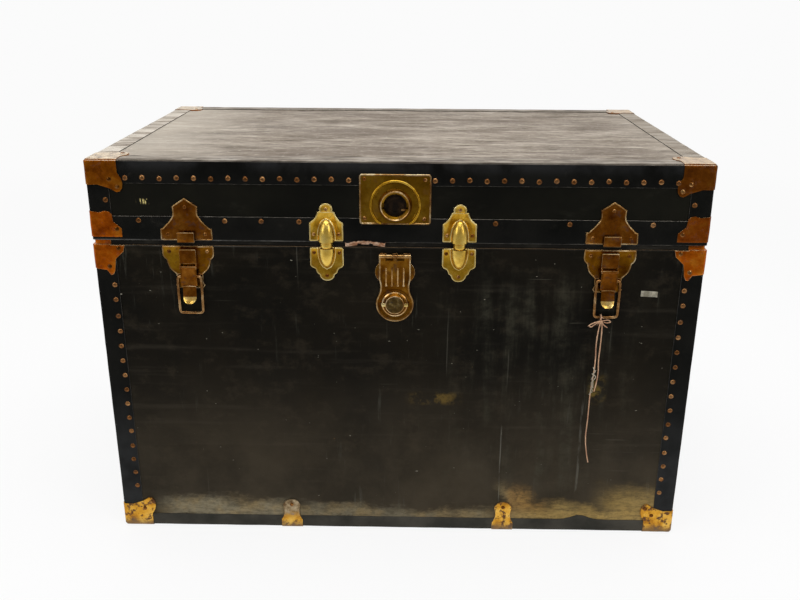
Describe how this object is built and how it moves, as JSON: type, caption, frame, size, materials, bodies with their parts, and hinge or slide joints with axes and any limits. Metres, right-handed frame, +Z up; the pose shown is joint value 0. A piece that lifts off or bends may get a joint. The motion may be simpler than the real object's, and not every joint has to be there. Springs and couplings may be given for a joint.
{
  "type": "travel trunk",
  "caption": "Wooden-framed travel trunk with a hinged lid, fibre bindings, brass corners, draw bolts, dowels, a hasp lock and end handles.",
  "frame": {"origin": "middle of the trunk's footprint, at floor height", "axes": "+X along the front to the viewer's right, +Y to the back where the hinges are, +Z up"},
  "size_m": [0.9782, 0.5796, 0.621],
  "materials": {
    "wood": "raw plywood",
    "covering": "worn black coated cloth",
    "lining": "matt paper",
    "fibre_binding": "black vulcanised fibre",
    "brass_corners": "tarnished",
    "brass_aged": "tarnished",
    "brass_bright": "worn bright",
    "steel": "brass-plated wire and pins",
    "leather": "worn",
    "string": "natural twine"
  },
  "bodies": {
    "chest": {"chest_front_board": "wood", "chest_back_board": "wood", "chest_left_board": "wood", "chest_right_board": "wood", "chest_bottom_board": "wood", "chest_covering": "covering", "chest_lining": "lining", "chest_tongue": "wood", "chest_corner_bindings": "fibre_binding", "chest_bottom_binding": "fibre_binding", "chest_upper_corner_clamps": "brass_corners", "chest_bottom_corner_caps": "brass_corners", "chest_bottom_edge_clamps": "brass_corners", "draw_bolt_base_plates": "brass_aged", "draw_bolt_housings": "brass_aged", "draw_bolt_lever_pins": "steel", "dowel_socket_plates": "brass_bright", "hasp_base_plate": "brass_bright", "hasp_pin": "steel", "hinge_chest_leaves": "brass_aged", "hinge_pins": "steel", "left_handle_strap": "leather", "right_handle_strap": "leather", "handle_end_caps": "brass_aged"},
    "lid": {"lid_front_board": "wood", "lid_back_board": "wood", "lid_left_board": "wood", "lid_right_board": "wood", "lid_top_board": "wood", "lid_covering": "covering", "lid_lining": "lining", "lid_top_binding": "fibre_binding", "lid_corner_bindings": "fibre_binding", "lid_valance": "fibre_binding", "lid_top_corner_caps": "brass_corners", "lid_lower_corner_clamps": "brass_corners", "lock_plate": "brass_bright", "dowel_pin_plates": "brass_bright", "dowel_pins": "brass_bright", "draw_bolt_hook_plates": "brass_aged", "hinge_lid_leaves": "brass_aged"},
    "left_lever": {"left_draw_bolt_lever": "brass_aged"},
    "right_lever": {"right_draw_bolt_lever": "brass_aged"},
    "left_bail": {"left_draw_bolt_bail": "steel"},
    "right_bail": {"right_draw_bolt_bail": "steel"},
    "hasp": {"hasp_leaf_and_case": "brass_bright"},
    "key": {"key_cylinder": "steel"},
    "left_bolt": {"left_lock_bolt": "steel"},
    "right_bolt": {"right_lock_bolt": "steel"},
    "string_loop": {"string_loop": "string", "string_knot": "string", "string_short_strand": "string"},
    "string_tail": {"string_long_strand": "string"}
  },
  "joints": [
    {"name": "lid_hinge", "type": "hinge", "parent": "chest", "child": "lid", "pos_m": [0, 0.2821, 0.495], "axis": [-1, 0, 0], "range_deg": [0, 100]},
    {"name": "hasp_hinge", "type": "hinge", "parent": "chest", "child": "hasp", "pos_m": [-0.005, -0.2848, 0.4795], "axis": [-1, 0, 0], "range_deg": [0, 180]},
    {"name": "key_turn", "type": "hinge", "parent": "hasp", "child": "key", "pos_m": [-0.005, -0.282, 0.403], "axis": [0, -1, 0], "range_deg": [0, 100]},
    {"name": "left_bolt_slide", "type": "slide", "parent": "hasp", "child": "left_bolt", "axis": [1, 0, 0], "range_m": [0, 0.004]},
    {"name": "right_bolt_slide", "type": "slide", "parent": "hasp", "child": "right_bolt", "axis": [-1, 0, 0], "range_m": [0, 0.0045]},
    {"name": "left_lever_hinge", "type": "hinge", "parent": "chest", "child": "left_lever", "pos_m": [-0.315, -0.2858, 0.459], "axis": [-1, 0, 0], "range_deg": [0, 150]},
    {"name": "right_lever_hinge", "type": "hinge", "parent": "chest", "child": "right_lever", "pos_m": [0.315, -0.2858, 0.459], "axis": [-1, 0, 0], "range_deg": [0, 150]},
    {"name": "left_bail_hinge", "type": "hinge", "parent": "left_lever", "child": "left_bail", "pos_m": [-0.315, -0.2836, 0.444], "axis": [1, 0, 0], "range_deg": [-180, 0]},
    {"name": "right_bail_hinge", "type": "hinge", "parent": "right_lever", "child": "right_bail", "pos_m": [0.315, -0.2836, 0.444], "axis": [1, 0, 0], "range_deg": [-180, 0], "deforming": ["string_loop", "string_knot", "string_long_strand", "string_short_strand"]},
    {"name": "string_loop_turn", "type": "hinge", "parent": "right_bail", "child": "string_loop", "pos_m": [0.3083, -0.2836, 0.386], "axis": [1, 0, 0], "range_deg": [0, 180]},
    {"name": "string_tail_turn", "type": "hinge", "parent": "string_loop", "child": "string_tail", "pos_m": [0.3083, -0.2836, 0.386], "axis": [-1, 0, 0], "range_deg": [-150, 0]}
  ],
  "couplings": [
    {"joint": "key_turn", "follows": "left_bolt_slide", "rad_per_m": 392.7},
    {"joint": "right_bolt_slide", "follows": "left_bolt_slide", "ratio": 1},
    {"joint": "string_loop_turn", "follows": "right_bail_hinge", "ratio": -1},
    {"joint": "string_tail_turn", "follows": "right_lever_hinge", "ratio": -1}
  ]
}
